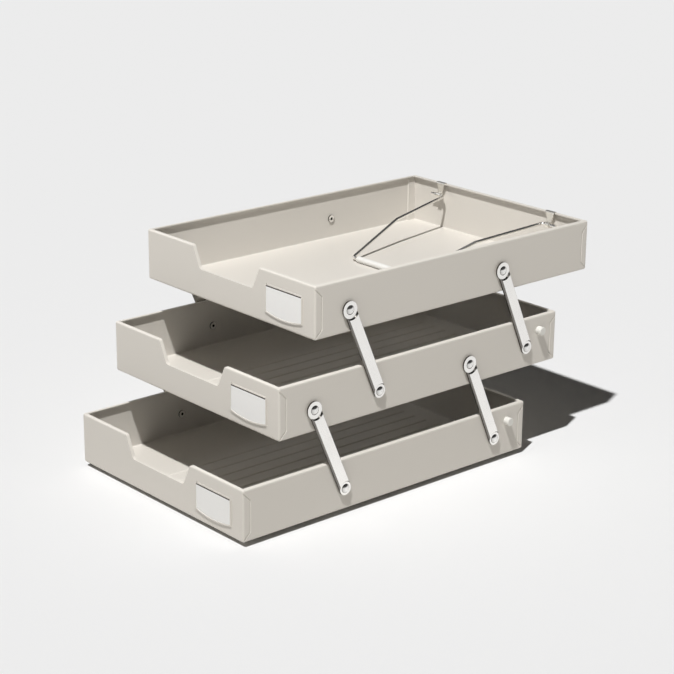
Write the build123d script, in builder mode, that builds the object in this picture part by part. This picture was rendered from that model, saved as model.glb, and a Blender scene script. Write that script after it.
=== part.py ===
from build123d import *
from math import asin, cos, degrees, hypot, radians, sin
import os

# Three letter trays of folded sheet steel, carried one above the other on swing
# arms. X runs across the trays, -Y is the front with the finger scoop, +Z is up.
# Places inside a tray are given from the middle of its width, from its front
# face and from its underside. All sizes are millimetres.

# Folded tray
tray_length = 340.0
tray_width = 240.0
tray_height = 48.0
sheet = 1.0
bend_radius = 2.0
rim_bend = 1.6
side_rim_width = 3.8
rear_rim_width = 4.8
hem_width = 3.2

# Finger scoop in the front wall
scoop_center = -2.0
scoop_top_width = 96.0
scoop_bottom_width = 76.0
scoop_height = 27.0
scoop_top_round = 3.0
scoop_bottom_round = 5.0

# Tabs that close the folded corners, let in flush where the side walls step inwards
tab_width = 7.0
tab_foot = 1.8
tab_slope = 7.0
tab_top = 44.2
seam_width = 1.6
seam_depth = 0.6
seam_slope = 45.0
corner_step = 0.8
corner_step_width = 9.0

# Stiffening beads in the floors of the lower two trays
bead_count = 6
bead_pitch = 16.0
bead_radius = 3.0
bead_height = 0.8
bead_margin = 22.0

# Label holder pressed in the front wall, and its card
label_inset = 41.0
label_width = 47.5
label_top = 34.5
label_bottom = 11.5
label_sag = 3.0
label_slit = 1.6
label_rail = 1.1
label_lip = 1.2
label_proud = 0.9
card_thickness = 0.5
card_gap = 0.1

# Swing arms: where they are pivoted and how far they swing
upper_pivot_setback = 38.0
lower_pivot_inset = 41.2
arm_reach = 74.8
pivot_height = 20.5
nest_gap = 0.6
rest_lean = 23.5
open_lean = -24.0

# Arm pressing
arm_width = 12.6
arm_sheet = 1.5
arm_neck = 6.0
arm_raise = 1.5
arm_taper = 35.0
eye_radius = 8.0
seat_margin = 0.2
arm_skin = 1.6

# Pivot rivets and the washers behind the arms
pin_radius = 2.5
pin_clearance = 0.05
side_play = 0.1
washer_radius = 5.2
washer_thickness = 0.6
head_radius = 4.3
head_height = 2.0
tail_radius = 3.8
tail_height = 1.2

# Stops for the rear arms
stop_radius = 4.0
stop_height = 6.0
stop_chamfer = 0.6
stop_reach = 19.2
stop_gap = 0.4
stop_stem_radius = 2.0
stop_button_radius = 3.2
stop_button_height = 1.4
dimple_radius = 1.6
dimple_height = 0.4
dimple_slope = 45.0
dimple_reach = 18.0

# Feet under the lower tray
foot_radius = 7.0
foot_height = 5.0
foot_inset = 24.0
foot_chamfer = 1.0

# Wire paper retainer in the upper tray
wire_radius = 1.6
wire_bend = 4.5
hinge_height = 36.0
stub_end = 86.0
knee_half_width = 55.0
knee_setback = 255.0
knee_height = 27.5
bar_half_width = 41.0
bar_setback = 185.0
sleeve_radius = 3.0
sleeve_half_length = 33.0
sleeve_clearance = 0.05
sleeve_rest_gap = 0.15
clip_center = 75.6
clip_width = 5.0
clip_top_width = 12.0
clip_sheet = 0.9
clip_clearance = 0.1
clip_ledge = 2.2
clip_bend = 1.5

# Worked out from the sizes above
body_half = tray_width / 2
label_center = tray_width / 2 - label_inset
pitch_closed = tray_height + nest_gap
arm_length = hypot(arm_reach, pitch_closed)
step_back = arm_reach - arm_length * sin(radians(rest_lean))
step_up = arm_length * cos(radians(rest_lean))
overall_length = label_proud + 2 * step_back + tray_length
first_front = label_proud - overall_length / 2
tray_front = [first_front + i * step_back for i in range(3)]
tray_base = [foot_height + i * step_up for i in range(3)]
lower_pivots = [upper_pivot_setback + arm_reach, tray_length - lower_pivot_inset]
upper_pivots = [setback - arm_reach for setback in lower_pivots]
arm_back = body_half + washer_thickness + side_play
head_seat = arm_back + arm_sheet + side_play
hinge_setback = tray_length - rear_rim_width - clip_sheet - wire_radius - clip_clearance
hinge_half_width = clip_center - clip_width / 2 - wire_bend
bar_height = sheet + sleeve_radius + sleeve_rest_gap
stop_offset = arm_width / 2 + stop_radius + stop_gap
open_angle = radians(open_lean)
stop_setback = lower_pivots[1] - stop_reach * sin(open_angle) + stop_offset * cos(open_angle)
stop_level = pivot_height + stop_reach * cos(open_angle) + stop_offset * sin(open_angle)

trays = ["lower", "middle", "upper"]
lower, middle, upper = range(len(trays))


def level(tray, height=0.0):
    # Level plane of one tray, measured from its underside and its front face.
    return Plane((0, tray_front[tray], tray_base[tray] + height))


def front(tray, setback=0.0):
    # Upright plane parallel to the front wall, X to the right and Y up.
    origin = (0, tray_front[tray] + setback, tray_base[tray])
    return Plane(origin, x_dir=(1, 0, 0), z_dir=(0, -1, 0))


def beside(tray, reach=0.0):
    # Upright plane parallel to the side walls, X to the rear and Y up.
    origin = (reach, tray_front[tray], tray_base[tray])
    return Plane(origin, x_dir=(0, 1, 0), z_dir=(1, 0, 0))


def outward(tray, hand, reach, setback, height, lean=0.0):
    # Plane on a side wall that faces away from the tray, X up along an arm.
    origin = (hand * reach, tray_front[tray] + setback, tray_base[tray] + height)
    along = (0, -sin(radians(lean)), cos(radians(lean)))
    return Plane(origin, x_dir=along, z_dir=(hand, 0, 0))


def save(builder, name):
    builder.part.label = name
    export_step(builder.part, f"parts/{name}.step")
    print(name, round(builder.part.volume, 1))


def scoop_sketch():
    # The finger scoop's outline, run on above the wall so that it cuts clear.
    run = (scoop_top_width - scoop_bottom_width) / 2
    rise = tray_height - scoop_height
    left = scoop_center - scoop_bottom_width / 2
    right = scoop_center + scoop_bottom_width / 2
    with BuildSketch() as outline:
        with BuildLine():
            Polyline(
                (left, scoop_height),
                (right, scoop_height),
                (right + 2 * run, scoop_height + 2 * rise),
                (left - 2 * run, scoop_height + 2 * rise),
                close=True,
            )
        make_face()
        fillet(outline.vertices().group_by(Axis.Y)[0], scoop_bottom_round)
    return outline.sketch


def wall_sketch():
    # The front wall's outline with the scoop taken out of its top edge.
    with BuildSketch() as outline:
        Rectangle(2 * body_half, tray_height, align=(Align.CENTER, Align.MIN))
        add(scoop_sketch(), mode=Mode.SUBTRACT)
        lips = outline.vertices().group_by(Axis.Y)[-1].sort_by(Axis.X)[1:-1]
        fillet(lips, scoop_top_round)
    return outline.sketch


def card_sketch(drop=0.0):
    # A label card: straight sides and top, and a bottom edge that sags.
    left = label_center - label_width / 2
    right = label_center + label_width / 2
    low = label_bottom - drop
    with BuildSketch() as outline:
        with BuildLine():
            ThreePointArc((left, low), (label_center, low - label_sag), (right, low))
            Polyline((right, low), (right, label_top), (left, label_top), (left, low))
        make_face()
    return outline.sketch


def seam_sketch(run):
    # The line round a corner tab with X up and Y along the wall, the tab's ends at a slope.
    with BuildSketch() as outline:
        Polygon(
            (tab_foot, 0),
            (tab_foot + tab_slope, -run * tab_width),
            (tab_top - tab_slope, -run * tab_width),
            (tab_top, 0),
            align=None,
        )
        tab = outline.sketch
        offset(amount=seam_width, kind=Kind.INTERSECTION)
        add(tab, mode=Mode.SUBTRACT)
    return outline.sketch


def bead_sketch(radius):
    # Row of floor beads seen from the front, cut off level with the underside.
    first = -bead_pitch * (bead_count - 1) / 2
    with BuildSketch() as outline:
        for i in range(bead_count):
            with Locations((first + i * bead_pitch, sheet + bead_height - bead_radius)):
                Circle(radius)
        Rectangle(
            tray_width,
            sheet + bead_height,
            align=(Align.CENTER, Align.MIN),
            mode=Mode.INTERSECT,
        )
    return outline.sketch


def arm_sketch():
    # The strip's outline, lower pivot at the origin and upper pivot along X.
    with BuildSketch() as outline:
        with Locations((arm_length / 2, 0)):
            SlotCenterToCenter(arm_length, arm_width)
        with Locations((arm_length, 0)):
            Circle(eye_radius)
        fillet(outline.vertices().filter_by_position(Axis.X, arm_length / 2, arm_length), arm_neck)
        with Locations((0, 0), (arm_length, 0)):
            Circle(pin_radius + pin_clearance, mode=Mode.SUBTRACT)
    return outline.sketch


def rib_sketch(inset):
    # The raised body's outline, stopped short of both rivet seats.
    with BuildSketch() as outline:
        with Locations((arm_length / 2, 0)):
            SlotCenterToCenter(arm_length, arm_width - 2 * inset)
        with Locations((arm_length, 0)):
            Circle(eye_radius + inset, mode=Mode.SUBTRACT)
        Circle(arm_width / 2 + seat_margin + inset, mode=Mode.SUBTRACT)
    return outline.sketch


def make_tray(tray, pivots, has_stops, has_beads):
    with BuildPart() as pan:
        # Folded tub
        with BuildSketch(level(tray)):
            Rectangle(2 * body_half, tray_length, align=(Align.CENTER, Align.MIN))
        extrude(amount=tray_height)
        fillet(pan.edges().filter_by(Axis.Z), bend_radius)
        fillet(pan.faces().sort_by(Axis.Z)[0].edges(), bend_radius)
        offset(amount=-sheet, openings=pan.faces().sort_by(Axis.Z)[-1])

        # Rim turned inwards all round, as a narrow hem along the front
        with BuildSketch(level(tray, tray_height)):
            with Locations((0, tray_length / 2)):
                RectangleRounded(2 * body_half, tray_length, bend_radius)
            with Locations((0, hem_width)):
                Rectangle(
                    2 * (body_half - side_rim_width),
                    tray_length - rear_rim_width - hem_width,
                    align=(Align.CENTER, Align.MIN),
                    mode=Mode.SUBTRACT,
                )
        extrude(amount=-sheet)
        crown = pan.faces().filter_by(Axis.Z).sort_by(Axis.Z)[-1]
        fillet(crown.outer_wire().edges(), rim_bend)

        # Finger scoop, and the hem that follows its edge
        with BuildSketch(front(tray)):
            Rectangle(2 * body_half, tray_height, align=(Align.CENTER, Align.MIN))
            add(wall_sketch(), mode=Mode.SUBTRACT)
        extrude(amount=-hem_width, mode=Mode.SUBTRACT)
        with BuildSketch(front(tray, sheet)):
            add(wall_sketch())
            offset(amount=-sheet, mode=Mode.SUBTRACT)
            with Locations((0, tray_height - sheet)):
                Rectangle(
                    2 * (body_half - side_rim_width),
                    tray_height - scoop_height,
                    align=(Align.CENTER, Align.MAX),
                    mode=Mode.INTERSECT,
                )
        extrude(amount=sheet - hem_width)

        # Seams of the tabs that the front and rear walls turn round the corners, and the
        # step of the side walls behind them
        for wall_end, inwards in ((0, 1), (tray_length, -1)):
            for hand in (-1, 1):
                with BuildSketch(outward(tray, hand, body_half, wall_end, 0)):
                    add(seam_sketch(hand * inwards))
                extrude(amount=-seam_depth, taper=seam_slope, mode=Mode.SUBTRACT)
                with BuildSketch(level(tray, sheet)):
                    wall = hand * (body_half - sheet)
                    start = wall_end + inwards * sheet
                    end = start + inwards * corner_step_width
                    Polygon(
                        (wall, start),
                        (wall, end + inwards * corner_step),
                        (wall - hand * corner_step, end),
                        (wall - hand * corner_step, start),
                        align=None,
                    )
                extrude(amount=tray_height - 2 * sheet)

        # Label holder: slit for the card's top edge, side rails and bottom lip
        with BuildSketch(front(tray)):
            with Locations((label_center, label_top)):
                Rectangle(label_width, label_slit, align=(Align.CENTER, Align.MIN))
        extrude(amount=-sheet, mode=Mode.SUBTRACT)
        with BuildSketch(front(tray)):
            add(card_sketch(card_gap + label_lip))
            add(card_sketch(card_gap), mode=Mode.SUBTRACT)
            for hand in (-1, 1):
                edge = label_center + hand * (label_width / 2 + card_gap + label_rail / 2)
                with Locations((edge, label_bottom - label_lip)):
                    Rectangle(
                        label_rail,
                        label_top - label_bottom + label_lip,
                        align=(Align.CENTER, Align.MIN),
                    )
        extrude(amount=label_proud)

        # Holes for the pivot rivets
        with BuildSketch(beside(tray)):
            for setback in pivots:
                with Locations((setback, pivot_height)):
                    Circle(pin_radius + pin_clearance)
        extrude(amount=tray_width, both=True, mode=Mode.SUBTRACT)

        if has_stops:
            with BuildSketch(beside(tray)):
                with Locations((stop_setback, stop_level)):
                    Circle(stop_stem_radius + pin_clearance)
            extrude(amount=tray_width, both=True, mode=Mode.SUBTRACT)
            for hand in (-1, 1):
                bump_level = pivot_height + dimple_reach
                with BuildSketch(outward(tray, hand, body_half, lower_pivots[1], bump_level)):
                    Circle(dimple_radius)
                extrude(amount=dimple_height, taper=dimple_slope)

        if has_beads:
            for radius, mode in ((bead_radius, Mode.ADD), (bead_radius - sheet, Mode.SUBTRACT)):
                with BuildSketch(front(tray, bead_margin)):
                    add(bead_sketch(radius))
                extrude(amount=2 * bead_margin - tray_length, mode=mode)
    return pan


def make_card(tray):
    with BuildPart() as card:
        with BuildSketch(front(tray)):
            add(card_sketch())
        extrude(amount=card_thickness)
    return card


def make_arm(gap, hand, setback):
    seat = outward(gap, hand, arm_back, setback, pivot_height, rest_lean)
    with BuildPart() as arm:
        # Flat strip with a round eye at its upper end
        with BuildSketch(seat):
            add(arm_sketch())
        extrude(amount=arm_sheet)

        # Raised body between the two rivet seats, hollow behind
        with BuildSketch(seat.offset(arm_sheet)):
            add(rib_sketch(0))
        extrude(amount=arm_raise, taper=arm_taper)
        with BuildSketch(seat):
            add(rib_sketch(arm_skin))
        extrude(amount=arm_raise, mode=Mode.SUBTRACT)
    return arm


def make_rivets(tray, pivots):
    tail_end = -sheet - tail_height
    head_start = head_seat - body_half
    dome_radius = (head_radius**2 + head_height**2) / (2 * head_height)
    dome_angle = degrees(asin(head_radius / dome_radius))
    with BuildPart() as rivets:
        for hand in (-1, 1):
            for setback in pivots:
                origin = outward(tray, hand, body_half, setback, pivot_height).origin
                with BuildSketch(Plane(origin, x_dir=(0, 0, 1), z_dir=(0, hand, 0))):
                    with BuildLine():
                        dome = JernArc((0, head_start + head_height), (1, 0), dome_radius, -dome_angle)
                        Polyline(
                            dome @ 1,
                            (pin_radius, head_start),
                            (pin_radius, -sheet),
                            (tail_radius, -sheet),
                            (tail_radius, tail_end),
                            (0, tail_end),
                            dome @ 0,
                        )
                    make_face()
                revolve(axis=Axis(origin, (hand, 0, 0)))
    return rivets


def make_washers(tray, pivots):
    with BuildPart() as washers:
        for hand in (-1, 1):
            with BuildSketch(beside(tray, hand * body_half)):
                for setback in pivots:
                    with Locations((setback, pivot_height)):
                        Circle(washer_radius)
                        Circle(pin_radius + pin_clearance, mode=Mode.SUBTRACT)
            extrude(amount=hand * washer_thickness)
    return washers


def make_stop(tray, hand):
    with BuildPart() as stop:
        wall = outward(tray, hand, body_half, stop_setback, stop_level)
        with BuildSketch(wall):
            Circle(stop_radius)
        extrude(amount=stop_height)
        chamfer(stop.faces().sort_by(Axis.X)[-1 if hand > 0 else 0].edges(), stop_chamfer)
        with BuildSketch(wall):
            Circle(stop_stem_radius)
        extrude(amount=-sheet)
        with BuildSketch(wall.offset(-sheet)):
            Circle(stop_button_radius)
        extrude(amount=-stop_button_height)
    return stop


def make_foot(across, along):
    with BuildPart() as foot:
        with BuildSketch(level(lower)):
            with Locations((across, along)):
                Circle(foot_radius)
        extrude(amount=-foot_height)
        chamfer(foot.faces().sort_by(Axis.Z)[0].edges(), foot_chamfer)
    return foot


def make_wire():
    half = [
        (stub_end, hinge_setback, hinge_height),
        (hinge_half_width, hinge_setback, hinge_height),
        (knee_half_width, knee_setback, knee_height),
        (bar_half_width, bar_setback, bar_height),
    ]
    route = [(-x, y, z) for x, y, z in half] + half[::-1]
    with BuildPart() as wire:
        with BuildLine(level(upper)) as path:
            FilletPolyline(*route, radius=wire_bend)
        with BuildSketch(Plane(origin=path.line @ 0, z_dir=path.line % 0)):
            Circle(wire_radius)
        sweep()
    return wire


def make_sleeve():
    with BuildPart() as sleeve:
        with BuildSketch(beside(upper, -sleeve_half_length)):
            with Locations((bar_setback, bar_height)):
                Circle(sleeve_radius)
                Circle(wire_radius + sleeve_clearance, mode=Mode.SUBTRACT)
        extrude(amount=2 * sleeve_half_length)
    return sleeve


def make_clip(hand):
    eye = wire_radius + clip_clearance
    rim_edge = tray_length - rear_rim_width
    with BuildPart() as clip:
        with BuildSketch(beside(upper, hand * clip_center - clip_top_width / 2)) as profile:
            with Locations((hinge_setback, hinge_height)):
                Circle(eye + clip_sheet)
            with Locations((rim_edge, hinge_height)):
                Rectangle(
                    clip_sheet,
                    tray_height - hinge_height + clip_sheet,
                    align=(Align.MAX, Align.MIN),
                )
            with Locations((rim_edge, tray_height)):
                Rectangle(clip_ledge, clip_sheet, align=(Align.MIN, Align.MIN))
            fillet(profile.vertices().group_by(Axis.Y)[-1].sort_by(Axis.X)[0], clip_bend)
            with Locations((hinge_setback, hinge_height)):
                Circle(eye, mode=Mode.SUBTRACT)
        extrude(amount=clip_top_width)

        # Sides drawn in from the rim down to the eye
        with BuildSketch(front(upper, rim_edge + clip_ledge)):
            with Locations((hand * clip_center, tray_height + clip_sheet)):
                Polygon(
                    (-clip_top_width / 2, 0),
                    (-clip_width / 2, hinge_height + eye - tray_height),
                    (-clip_width / 2, -tray_height),
                    (clip_width / 2, -tray_height),
                    (clip_width / 2, hinge_height + eye - tray_height),
                    (clip_top_width / 2, 0),
                    align=None,
                )
        extrude(amount=tray_length, mode=Mode.INTERSECT)
    return clip


os.makedirs("parts", exist_ok=True)

save(make_tray(lower, lower_pivots, True, True), "lower_tray")
save(make_tray(middle, upper_pivots + lower_pivots, True, True), "middle_tray")
save(make_tray(upper, upper_pivots, False, False), "upper_tray")

for tray, name in enumerate(trays):
    save(make_card(tray), f"{name}_label_card")

hands = {"left": -1, "right": 1}
ends = {"front": 0, "rear": 1}

for gap in (lower, middle):
    for end, place in ends.items():
        for word, hand in hands.items():
            save(make_arm(gap, hand, lower_pivots[place]), f"{trays[gap]}_arm_{end}_{word}")

save(make_rivets(lower, lower_pivots), "lower_tray_rivets")
save(make_rivets(middle, upper_pivots), "middle_tray_hanger_rivets")
save(make_rivets(middle, lower_pivots), "middle_tray_base_rivets")
save(make_rivets(upper, upper_pivots), "upper_tray_rivets")
save(make_washers(lower, lower_pivots), "lower_tray_washers")
save(make_washers(middle, upper_pivots), "middle_tray_hanger_washers")
save(make_washers(middle, lower_pivots), "middle_tray_base_washers")
save(make_washers(upper, upper_pivots), "upper_tray_washers")

for tray in (lower, middle):
    for word, hand in hands.items():
        save(make_stop(tray, hand), f"{trays[tray]}_tray_stop_{word}")

for end, along in (("front", foot_inset), ("rear", tray_length - foot_inset)):
    for word, hand in hands.items():
        save(make_foot(hand * (body_half - foot_inset), along), f"foot_{end}_{word}")

save(make_wire(), "retainer_wire")
save(make_sleeve(), "retainer_sleeve")
for word, hand in hands.items():
    save(make_clip(hand), f"retainer_clip_{word}")
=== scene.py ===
import math

import bpy
from mathutils import Matrix, Vector

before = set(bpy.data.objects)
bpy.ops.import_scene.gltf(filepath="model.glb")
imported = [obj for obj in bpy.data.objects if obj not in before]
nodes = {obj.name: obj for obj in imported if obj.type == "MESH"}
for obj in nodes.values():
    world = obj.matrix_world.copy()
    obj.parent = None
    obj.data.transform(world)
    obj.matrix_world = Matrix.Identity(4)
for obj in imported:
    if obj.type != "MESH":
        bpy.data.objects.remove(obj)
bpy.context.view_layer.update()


# Camera, fitted to the photograph

cameraView = {
    "azimuth": 48.886,  # degrees, 0 looks along +Y
    "elevation": 18.413,
    "roll": 0.461,
    "distance": 1.7732,
    "target": (0.0, -0.0007, 0.1141),
    "lens": 100.61,
    "sensor": 36.0,
    "clipEnd": 50.0,
}


def makeCamera():
    azimuth = math.radians(cameraView["azimuth"])
    elevation = math.radians(cameraView["elevation"])
    back = Vector((
        math.sin(azimuth) * math.cos(elevation),
        -math.cos(azimuth) * math.cos(elevation),
        math.sin(elevation),
    ))
    right = Vector((math.cos(azimuth), math.sin(azimuth), 0.0))
    up = back.cross(right)
    roll = Matrix.Rotation(math.radians(cameraView["roll"]), 3, "Z")
    turn = Matrix((right, up, back)).transposed() @ roll
    data = bpy.data.cameras.new("photoCamera")
    data.lens = cameraView["lens"]
    data.sensor_width = cameraView["sensor"]
    data.clip_end = cameraView["clipEnd"]
    camera = bpy.data.objects.new("photoCamera", data)
    place = Vector(cameraView["target"]) + back * cameraView["distance"]
    camera.matrix_world = Matrix.Translation(place) @ turn.to_4x4()
    bpy.context.scene.collection.objects.link(camera)
    bpy.context.scene.camera = camera


# Node helpers

def feed(tree, socket, value):
    # Links a socket to another node's output, or sets it to a number, a vector or a tone.
    if isinstance(value, bpy.types.NodeSocket):
        tree.links.new(value, socket)
    elif socket.type == "RGBA":
        socket.default_value = (*value, 1.0)
    else:
        socket.default_value = value


def addNoise(tree, vector, scale, detail=2.0, roughness=0.5):
    noise = tree.nodes.new("ShaderNodeTexNoise")
    feed(tree, noise.inputs["Vector"], vector)
    feed(tree, noise.inputs["Scale"], scale)
    feed(tree, noise.inputs["Detail"], detail)
    feed(tree, noise.inputs["Roughness"], roughness)
    return noise.outputs["Fac"]


def addMath(tree, operation, *values, clamp=False):
    node = tree.nodes.new("ShaderNodeMath")
    node.operation = operation
    node.use_clamp = clamp
    for socket, value in zip(node.inputs, values):
        feed(tree, socket, value)
    return node.outputs[0]


def addVectorMath(tree, operation, first, second, result="Vector"):
    node = tree.nodes.new("ShaderNodeVectorMath")
    node.operation = operation
    feed(tree, node.inputs[0], first)
    feed(tree, node.inputs["Scale" if operation == "SCALE" else 1], second)
    return node.outputs[result]


def addMix(tree, factor, first, second):
    node = tree.nodes.new("ShaderNodeMix")
    node.data_type = "RGBA"
    feed(tree, node.inputs[0], factor)
    feed(tree, node.inputs[6], first)
    feed(tree, node.inputs[7], second)
    return node.outputs[2]


def splitVector(tree, vector):
    parts = tree.nodes.new("ShaderNodeSeparateXYZ")
    feed(tree, parts.inputs[0], vector)
    return parts.outputs["X"], parts.outputs["Y"], parts.outputs["Z"]


def startMaterial(name):
    material = bpy.data.materials.new(name)
    material.use_nodes = True
    tree = material.node_tree
    tree.nodes.clear()
    out = tree.nodes.new("ShaderNodeOutputMaterial")
    shader = tree.nodes.new("ShaderNodeBsdfPrincipled")
    tree.links.new(shader.outputs[0], out.inputs["Surface"])
    return material, tree, shader


def startGroup(name, inputs, outputs):
    group = bpy.data.node_groups.new(name, "ShaderNodeTree")
    for label, (kind, value) in inputs.items():
        socket = group.interface.new_socket(name=label, in_out="INPUT", socket_type=kind)
        socket.default_value = value
    for label, kind in outputs.items():
        group.interface.new_socket(name=label, in_out="OUTPUT", socket_type=kind)
    return group, group.nodes.new("NodeGroupInput").outputs


def endGroup(group, results):
    outlet = group.nodes.new("NodeGroupOutput")
    for label, value in results.items():
        feed(group, outlet.inputs[label], value)
    return group


def placeGroup(tree, group, values):
    node = tree.nodes.new("ShaderNodeGroup")
    node.node_tree = group
    for label, value in values.items():
        feed(tree, node.inputs[label], value)
    return node.outputs


def addBump(tree, shader, height, finish):
    bump = tree.nodes.new("ShaderNodeBump")
    bump.inputs["Strength"].default_value = finish["bump"]
    bump.inputs["Distance"].default_value = finish["depth"]
    tree.links.new(height, bump.inputs["Height"])
    tree.links.new(bump.outputs[0], shader.inputs["Normal"])


# Studio: lamps, backdrop and floor

studio = {
    # The lamp that lights the trays, near enough for its shadows to spread
    "lampPlace": (0.555, -0.82, 2.16),
    "lampPower": 222.0,
    "lampRadius": 0.036,
    "lampColor": (1.0, 0.995, 0.985),
    # A soft card of light on the left, for the trays alone
    "cardPlace": (-1.9, -0.35, 0.95),
    "cardTarget": (0.0, 0.0, 0.1),
    "cardSize": 1.0,
    "cardPower": 9.0,
    # The floor's own lamp: its shadow's run in X and Y for each metre of height
    "shadowSlant": (-0.232, 0.54),
    "floorStrength": 3.4,
    "floorAngle": 1.6,
    # Light in the nested trays dies out after two bounces, as in the photograph
    "shadeBounces": 2,
    "fillLevel": 0.03,
    "fillColor": (1.0, 0.99, 0.98),
    "backdropLevel": 0.86,
    "backdropColor": (1.0, 1.0, 1.0),
    # What polished metal finds above the bright backdrop, and the sine of the height
    # at which the backdrop starts and ends its fade
    "upperLevel": 0.07,
    "backdropTop": (0.12, 0.34),
    "floorSize": 30.0,
    "floorColor": (0.87, 0.87, 0.87),
    # The same floor, as it lights the trays from below
    "floorBounce": (0.86, 0.835, 0.79),
    "floorRoughness": 0.9,
}


def addLight(name, kind, power, lit):
    data = bpy.data.lights.new(name, kind)
    data.energy = power
    light = bpy.data.objects.new(name, data)
    bpy.context.scene.collection.objects.link(light)
    light.light_linking.receiver_collection = lit
    return light


def aimLight(light, travel):
    light.rotation_euler = travel.to_track_quat("-Z", "Y").to_euler()


def makeLights(litTrays, litFloor):
    lamp = addLight("keyLamp", "POINT", studio["lampPower"], litTrays)
    lamp.data.shadow_soft_size = studio["lampRadius"]
    lamp.data.color = studio["lampColor"]
    lamp.location = studio["lampPlace"]
    lamp.visible_camera = False

    card = addLight("softCard", "AREA", studio["cardPower"], litTrays)
    card.data.shape = "SQUARE"
    card.data.size = studio["cardSize"]
    card.location = studio["cardPlace"]
    card.visible_camera = False
    aimLight(card, Vector(studio["cardTarget"]) - card.location)

    sun = addLight("floorSun", "SUN", studio["floorStrength"], litFloor)
    sun.data.angle = math.radians(studio["floorAngle"])
    travel = Vector((*studio["shadowSlant"], -1.0))
    sun.location = -travel
    aimLight(sun, travel)


def addBackground(tree, color, strength):
    background = tree.nodes.new("ShaderNodeBackground")
    feed(tree, background.inputs["Color"], color)
    feed(tree, background.inputs["Strength"], strength)
    return background.outputs[0]


def makeBackdrop():
    # The camera and polished metal see a bright backdrop, and all else gets a weak fill.
    world = bpy.data.worlds.new("softRoom")
    bpy.context.scene.world = world
    world.use_nodes = True
    tree = world.node_tree
    tree.nodes.clear()
    path = tree.nodes.new("ShaderNodeLightPath")
    direction = tree.nodes.new("ShaderNodeTexCoord")
    height = splitVector(tree, direction.outputs["Generated"])[2]
    fade = tree.nodes.new("ShaderNodeMapRange")
    fade.interpolation_type = "SMOOTHSTEP"
    fadeStart, fadeEnd = studio["backdropTop"]
    for label, value in (("Value", height), ("From Min", fadeStart), ("From Max", fadeEnd),
                         ("To Min", studio["backdropLevel"]), ("To Max", studio["upperLevel"])):
        feed(tree, fade.inputs[label], value)
    level = tree.nodes.new("ShaderNodeMix")
    feed(tree, level.inputs[0], path.outputs["Is Camera Ray"])
    feed(tree, level.inputs[2], fade.outputs[0])
    feed(tree, level.inputs[3], studio["backdropLevel"])
    mix = tree.nodes.new("ShaderNodeMixShader")
    sight = addMath(tree, "MAXIMUM", path.outputs["Is Camera Ray"], path.outputs["Is Glossy Ray"])
    feed(tree, mix.inputs[0], sight)
    feed(tree, mix.inputs[1], addBackground(tree, studio["fillColor"], studio["fillLevel"]))
    feed(tree, mix.inputs[2], addBackground(tree, studio["backdropColor"], level.outputs[0]))
    out = tree.nodes.new("ShaderNodeOutputWorld")
    feed(tree, out.inputs["Surface"], mix.outputs[0])


def makeFloor():
    half = studio["floorSize"] / 2
    corners = [(-half, -half, 0.0), (half, -half, 0.0), (half, half, 0.0), (-half, half, 0.0)]
    mesh = bpy.data.meshes.new("paleFloor")
    mesh.from_pydata(corners, [], [(0, 1, 2, 3)])
    floor = bpy.data.objects.new("paleFloor", mesh)
    bpy.context.scene.collection.objects.link(floor)
    material, tree, shader = startMaterial("paleFloor")
    path = tree.nodes.new("ShaderNodeLightPath")
    bounced = path.outputs["Is Diffuse Ray"]
    color = addMix(tree, bounced, studio["floorColor"], studio["floorBounce"])
    tree.links.new(color, shader.inputs["Base Color"])
    shader.inputs["Roughness"].default_value = studio["floorRoughness"]
    shader.inputs["Specular IOR Level"].default_value = 0.0
    mesh.materials.append(material)
    return floor


def makeStudio():
    litTrays = bpy.data.collections.new("litTrays")
    for piece in nodes.values():
        litTrays.objects.link(piece)
    litFloor = bpy.data.collections.new("litFloor")
    makeLights(litTrays, litFloor)
    makeBackdrop()
    litFloor.objects.link(makeFloor())
    bpy.context.scene.cycles.diffuse_bounces = studio["shadeBounces"]


# Shader groups

surfaceOutputs = {
    "Color": "NodeSocketColor",
    "Roughness": "NodeSocketFloat",
    "Height": "NodeSocketFloat",
}

filmGrain = {
    "rippleDetail": 2.0,
    "rippleWeight": 0.7,
    "peelDetail": 1.0,
    "driftScale": 7.0,
    "driftDetail": 3.0,
    "driftRoughness": 0.6,
    "glossDrift": 0.18,
}


def makeFilmGroup():
    # A sprayed and baked film: long-wave ripple, fine peel and a slow drift in tone.
    group, given = startGroup("sprayedFilm", {
        "Tone": ("NodeSocketColor", (0.8, 0.8, 0.8, 1.0)),
        "Drift": ("NodeSocketFloat", 0.03),
        "Ripple Scale": ("NodeSocketFloat", 260.0),
        "Peel Scale": ("NodeSocketFloat", 1100.0),
        "Gloss": ("NodeSocketFloat", 0.35),
    }, surfaceOutputs)
    place = group.nodes.new("ShaderNodeTexCoord").outputs["Object"]
    ripple = addNoise(group, place, given["Ripple Scale"], filmGrain["rippleDetail"])
    peel = addNoise(group, place, given["Peel Scale"], filmGrain["peelDetail"])
    slow = addNoise(
        group, place, filmGrain["driftScale"], filmGrain["driftDetail"], filmGrain["driftRoughness"]
    )
    shift = addMath(group, "SUBTRACT", slow, 0.5)
    share = addMath(group, "MULTIPLY_ADD", shift, given["Drift"], 1.0)
    return endGroup(group, {
        "Color": addVectorMath(group, "SCALE", given["Tone"], share),
        "Roughness": addMath(group, "MULTIPLY_ADD", shift, filmGrain["glossDrift"], given["Gloss"]),
        "Height": addMath(group, "MULTIPLY_ADD", ripple, filmGrain["rippleWeight"], peel),
    })


# Settings of the mask for painted edge highlights on the paint and painted dark edge reflections on
# the metals.
paintedEdgeMask = {
    "samples": 4,
    "gain": 6.0,
    "spotScale": 420.0,
    "spotDetail": 3.0,
}


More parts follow.
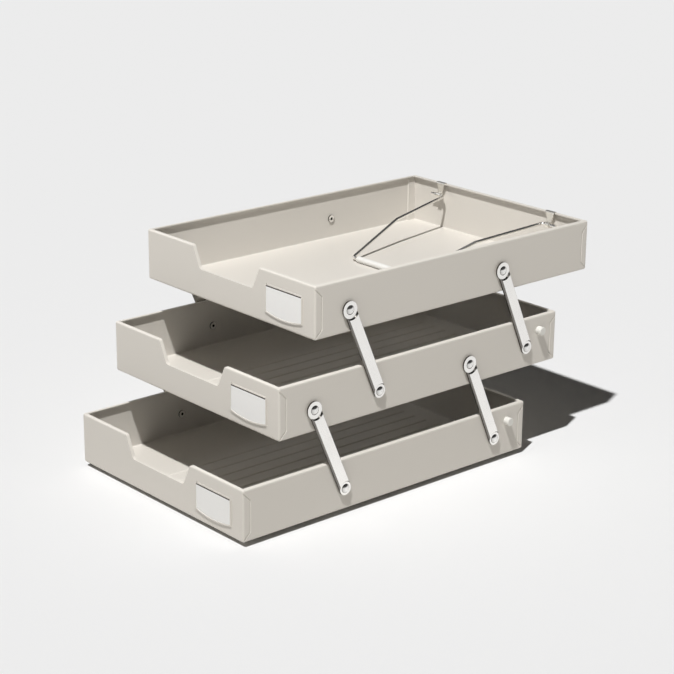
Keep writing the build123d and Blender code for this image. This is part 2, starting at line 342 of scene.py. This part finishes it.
def makeEdgeGroup():
    # A mask that is 1 along the sharp edges of a piece and 0 on its flats, for painted edge
    # highlights and painted dark edge reflections.
    group, given = startGroup("edgeMask", {
        "Radius": ("NodeSocketFloat", 0.0006),
        "Ragged": ("NodeSocketFloat", 0.3),
    }, {"Mask": "NodeSocketFloat"})
    bevel = group.nodes.new("ShaderNodeBevel")
    bevel.samples = paintedEdgeMask["samples"]
    feed(group, bevel.inputs["Radius"], given["Radius"])
    normal = group.nodes.new("ShaderNodeNewGeometry").outputs["Normal"]
    alike = addVectorMath(group, "DOT_PRODUCT", bevel.outputs[0], normal, "Value")
    bend = addMath(group, "SUBTRACT", 1.0, alike)
    sharp = addMath(group, "MULTIPLY", bend, paintedEdgeMask["gain"], clamp=True)
    place = group.nodes.new("ShaderNodeTexCoord").outputs["Object"]
    spots = addNoise(group, place, paintedEdgeMask["spotScale"], paintedEdgeMask["spotDetail"])
    ragged = addMath(group, "MULTIPLY", spots, given["Ragged"])
    return endGroup(group, {"Mask": addMath(group, "SUBTRACT", sharp, ragged, clamp=True)})


metalGrain = {
    "streakScale": 900.0,
    "streakDetail": 2.0,
    "markScale": 55.0,
    "markDetail": 3.0,
    "markRoughness": 0.65,
    "markGloss": 0.16,
    "markTone": 0.12,
}


def makeMetalGroup():
    # Rolled and plated metal: fine streaks along the sheet and soft handling marks.
    group, given = startGroup("platedMetal", {
        "Tone": ("NodeSocketColor", (0.7, 0.7, 0.7, 1.0)),
        "Gloss": ("NodeSocketFloat", 0.2),
        "Streaks": ("NodeSocketFloat", 1.0),
        "Stretch": ("NodeSocketVector", (1.0, 1.0, 1.0)),
    }, surfaceOutputs)
    place = group.nodes.new("ShaderNodeTexCoord").outputs["Object"]
    along = addVectorMath(group, "MULTIPLY", place, given["Stretch"])
    streak = addNoise(group, along, metalGrain["streakScale"], metalGrain["streakDetail"])
    marks = addNoise(
        group, place, metalGrain["markScale"], metalGrain["markDetail"], metalGrain["markRoughness"]
    )
    dull = addMath(group, "SUBTRACT", marks, 0.5)
    dim = addMath(group, "MULTIPLY_ADD", dull, metalGrain["markTone"], 1.0)
    rough = addMath(
        group, "MULTIPLY_ADD", dull, metalGrain["markGloss"], given["Gloss"], clamp=True
    )
    return endGroup(group, {
        "Color": addVectorMath(group, "SCALE", given["Tone"], dim),
        "Roughness": rough,
        "Height": addMath(group, "MULTIPLY", streak, given["Streaks"]),
    })


squareFacing = 0.97  # a face this square to X, or more, isn't a flank


def makeFlankGroup():
    # A mask for the flanks and round shoulders of a piece that hangs on an X axis, where a painted
    # dark reflection and shade goes.
    group, given = startGroup(
        "flankMask", {"Soft": ("NodeSocketFloat", 0.5)}, {"Mask": "NodeSocketFloat"}
    )
    normal = group.nodes.new("ShaderNodeTexCoord").outputs["Normal"]
    facing = addMath(group, "ABSOLUTE", splitVector(group, normal)[0])
    away = addMath(group, "SUBTRACT", squareFacing, facing)
    return endGroup(group, {"Mask": addMath(group, "DIVIDE", away, given["Soft"], clamp=True)})


def makeBoreGroup():
    # A mask for a disc at the inner end of each of four rivets, where a painted dark shade stands
    # in for a blind bore.
    group, given = startGroup("tailBoreShade", {
        "Middle": ("NodeSocketVector", (0.0, 0.0, 0.0)),
        "Spread": ("NodeSocketFloat", 0.1),
        "Radius": ("NodeSocketFloat", 0.0015),
        "Inner End": ("NodeSocketFloat", 0.118),
    }, {"Mask": "NodeSocketFloat"})
    place = group.nodes.new("ShaderNodeTexCoord").outputs["Object"]
    across, along, up = splitVector(
        group, addVectorMath(group, "SUBTRACT", place, given["Middle"])
    )
    side = addMath(group, "SUBTRACT", addMath(group, "ABSOLUTE", along), given["Spread"])
    upSquared = addMath(group, "MULTIPLY", up, up)
    reach = addMath(group, "SQRT", addMath(group, "MULTIPLY_ADD", side, side, upSquared))
    near = addMath(group, "LESS_THAN", reach, given["Radius"])
    deep = addMath(group, "LESS_THAN", addMath(group, "ABSOLUTE", across), given["Inner End"])
    return endGroup(group, {"Mask": addMath(group, "MULTIPLY", near, deep)})


# Finishes of the pieces

filmFinishes = {
    "trayPaint": {
        "tone": (0.748, 0.714, 0.66), "gloss": 0.36, "drift": 0.03, "ripple": 260.0, "peel": 1100.0,
        "bump": 0.1, "depth": 0.00012,
        # The lighter edge tone is a painted highlight along the tray's sharp edges.
        "edgeRadius": 0.0007, "edgeRagged": 0.25, "paintedEdgeShading": (0.80, 0.78, 0.72), "edgeShare": 0.6,
    },
    "washerNylon": {
        "tone": (0.06, 0.057, 0.053), "gloss": 0.5, "drift": 0.05, "ripple": 300.0, "peel": 1500.0,
        "bump": 0.1, "depth": 0.00006,
    },
    "stopNylon": {
        "tone": (0.82, 0.81, 0.77), "gloss": 0.38, "drift": 0.03, "ripple": 200.0, "peel": 1400.0,
        "bump": 0.08, "depth": 0.00006,
    },
    "sleevePlastic": {
        "tone": (0.84, 0.83, 0.80), "gloss": 0.32, "drift": 0.03, "ripple": 200.0, "peel": 1200.0,
        "bump": 0.08, "depth": 0.00006,
    },
    "footRubber": {
        "tone": (0.035, 0.035, 0.037), "gloss": 0.75, "drift": 0.2, "ripple": 500.0, "peel": 2200.0,
        "bump": 0.35, "depth": 0.0001,
    },
}


def makeFilm(name):
    finish = filmFinishes[name]
    material, tree, shader = startMaterial(name)
    film = placeGroup(tree, filmGroup, {
        "Tone": finish["tone"],
        "Drift": finish["drift"],
        "Ripple Scale": finish["ripple"],
        "Peel Scale": finish["peel"],
        "Gloss": finish["gloss"],
    })
    color = film["Color"]
    # Painted highlight: the paint is lightened along its sharp edges.
    if "paintedEdgeShading" in finish:
        edge = placeGroup(tree, edgeGroup, {
            "Radius": finish["edgeRadius"],
            "Ragged": finish["edgeRagged"],
        })
        share = addMath(tree, "MULTIPLY", edge["Mask"], finish["edgeShare"])
        color = addMix(tree, share, color, finish["paintedEdgeShading"])
    tree.links.new(color, shader.inputs["Base Color"])
    tree.links.new(film["Roughness"], shader.inputs["Roughness"])
    addBump(tree, shader, film["Height"], finish)
    return material


metalEdgeRagged = 0.15

# Each metal's edge tone is a painted dark reflection and shade along its edges and in the creases
# where parts meet.
metalFinishes = {
    "armNickel": {
        "tone": (0.93, 0.915, 0.885), "gloss": 0.2, "streaks": 1.0, "stretch": (1.0, 1.0, 0.06),
        "bump": 0.12, "depth": 0.00006, "edgeRadius": 0.0008, "paintedEdgeShading": (0.30, 0.285, 0.26),
        # The flank tone is a painted dark reflection and shade on the arm's flanks and shoulders.
        "paintedFlankShade": (0.10, 0.09, 0.08), "flankSoft": 0.45,
    },
    "rivetSteel": {
        "tone": (0.86, 0.85, 0.83), "gloss": 0.08, "streaks": 0.4, "stretch": (1.0, 1.0, 1.0),
        "bump": 0.06, "depth": 0.00003, "edgeRadius": 0.0009, "paintedEdgeShading": (0.20, 0.19, 0.17),
        "paintedFlankShade": (0.14, 0.13, 0.12), "flankSoft": 0.6,
        # The bore tone is a painted shade that stands in for the dark inside a rivet's bore.
        "paintedBoreShade": (0.02, 0.018, 0.016), "boreRadius": 0.0014, "boreReach": 0.0004,
    },
    "wireChrome": {
        "tone": (0.93, 0.92, 0.90), "gloss": 0.24, "streaks": 0.4, "stretch": (0.2, 0.2, 0.2),
        "bump": 0.05, "depth": 0.00004, "edgeRadius": 0.0004, "paintedEdgeShading": (0.3, 0.29, 0.27),
    },
    "clipSteel": {
        "tone": (0.95, 0.93, 0.88), "gloss": 0.36, "streaks": 0.8, "stretch": (1.0, 1.0, 0.08),
        "bump": 0.1, "depth": 0.00005, "edgeRadius": 0.0007, "paintedEdgeShading": (0.2, 0.18, 0.15),
    },
}


def findBores(rivets, finish):
    # Where the painted bore shades of a node's four rivets go, from the extents of its mesh.
    across, along, up = ([point.co[i] for point in rivets.data.vertices] for i in range(3))
    middle = [(min(side) + max(side)) / 2 for side in (across, along, up)]
    headRadius = (max(up) - min(up)) / 2
    return {
        "Middle": middle,
        "Spread": max(along) - middle[1] - headRadius,
        "Radius": finish["boreRadius"],
        "Inner End": min(abs(x) for x in across) + finish["boreReach"],
    }


def makeMetal(name, rivets=None):
    finish = metalFinishes[name]
    material, tree, shader = startMaterial(name)
    metal = placeGroup(tree, metalGroup, {
        "Tone": finish["tone"],
        "Gloss": finish["gloss"],
        "Streaks": finish["streaks"],
        "Stretch": finish["stretch"],
    })
    edge = placeGroup(tree, edgeGroup, {
        "Radius": finish["edgeRadius"],
        "Ragged": metalEdgeRagged,
    })
    # Painted reflection and shade: the metal is darkened along its sharp edges and in creases.
    color = addMix(tree, edge["Mask"], metal["Color"], finish["paintedEdgeShading"])
    # Painted reflection and shade: flanks and round shoulders of arms and rivet domes are darkened.
    if "paintedFlankShade" in finish:
        flank = placeGroup(tree, flankGroup, {"Soft": finish["flankSoft"]})
        color = addMix(tree, flank["Mask"], color, finish["paintedFlankShade"])
    if rivets:
        # Painted shade: a dark disc at each rivet's inner end stands in for the shade inside a
        # bore.
        bore = placeGroup(tree, boreGroup, findBores(rivets, finish))
        color = addMix(tree, bore["Mask"], color, finish["paintedBoreShade"])
    tree.links.new(color, shader.inputs["Base Color"])
    tree.links.new(metal["Roughness"], shader.inputs["Roughness"])
    shader.inputs["Metallic"].default_value = 1.0
    addBump(tree, shader, metal["Height"], finish)
    return material


cardPaper = {
    "tone": (0.96, 0.96, 0.955),
    "fibreTone": (0.86, 0.855, 0.84),
    "slotShadowTone": (0.06, 0.05, 0.045),
    # Share of the card's height above which a painted shadow stands in for the dark of its slot
    "slotStart": 0.965,
    "fibreScale": 1800.0,
    "fibreDetail": 4.0,
    "fibreRoughness": 0.7,
    "fibreShare": 0.35,
    "cloudScale": 260.0,
    "cloudDetail": 3.0,
    "roughness": 0.85,
    "bump": 0.2,
    "depth": 0.00004,
}


def makeCardPaper():
    material, tree, shader = startMaterial("cardPaper")
    place = tree.nodes.new("ShaderNodeTexCoord").outputs
    fibre = addNoise(
        tree, place["Object"],
        cardPaper["fibreScale"], cardPaper["fibreDetail"], cardPaper["fibreRoughness"],
    )
    cloud = addNoise(tree, place["Object"], cardPaper["cloudScale"], cardPaper["cloudDetail"])
    both = addMath(tree, "MULTIPLY", fibre, cloud)
    share = addMath(tree, "MULTIPLY", both, cardPaper["fibreShare"])
    paper = addMix(tree, share, cardPaper["tone"], cardPaper["fibreTone"])
    height = splitVector(tree, place["Generated"])[2]
    # Painted shadow: the card's top strip is darkened where its slot would shade it.
    slot = addMath(tree, "GREATER_THAN", height, cardPaper["slotStart"])
    color = addMix(tree, slot, paper, cardPaper["slotShadowTone"])
    tree.links.new(color, shader.inputs["Base Color"])
    shader.inputs["Roughness"].default_value = cardPaper["roughness"]
    addBump(tree, shader, fibre, cardPaper)
    return material


def dressNodes():
    finishes = {  # the first word found in a node's name counts
        "label_card": makeCardPaper(),
        "arm": makeMetal("armNickel"),
        "washers": makeFilm("washerNylon"),
        "stop": makeFilm("stopNylon"),
        "foot": makeFilm("footRubber"),
        "retainer_wire": makeMetal("wireChrome"),
        "retainer_sleeve": makeFilm("sleevePlastic"),
        "retainer_clip": makeMetal("clipSteel"),
        "tray": makeFilm("trayPaint"),
    }
    for name, piece in nodes.items():
        if "rivets" in name:
            finish = makeMetal("rivetSteel", piece)
        else:
            finish = finishes[next(word for word in finishes if word in name)]
        for slot in piece.material_slots:
            slot.material = finish


makeCamera()
print("stage: camera")
filmGroup = makeFilmGroup()
edgeGroup = makeEdgeGroup()
metalGroup = makeMetalGroup()
flankGroup = makeFlankGroup()
boreGroup = makeBoreGroup()
print("stage: shader groups")
makeStudio()
print("stage: studio")
dressNodes()
print("stage: finishes on", len(nodes), "nodes")

bpy.context.scene.view_settings.view_transform = "Standard"
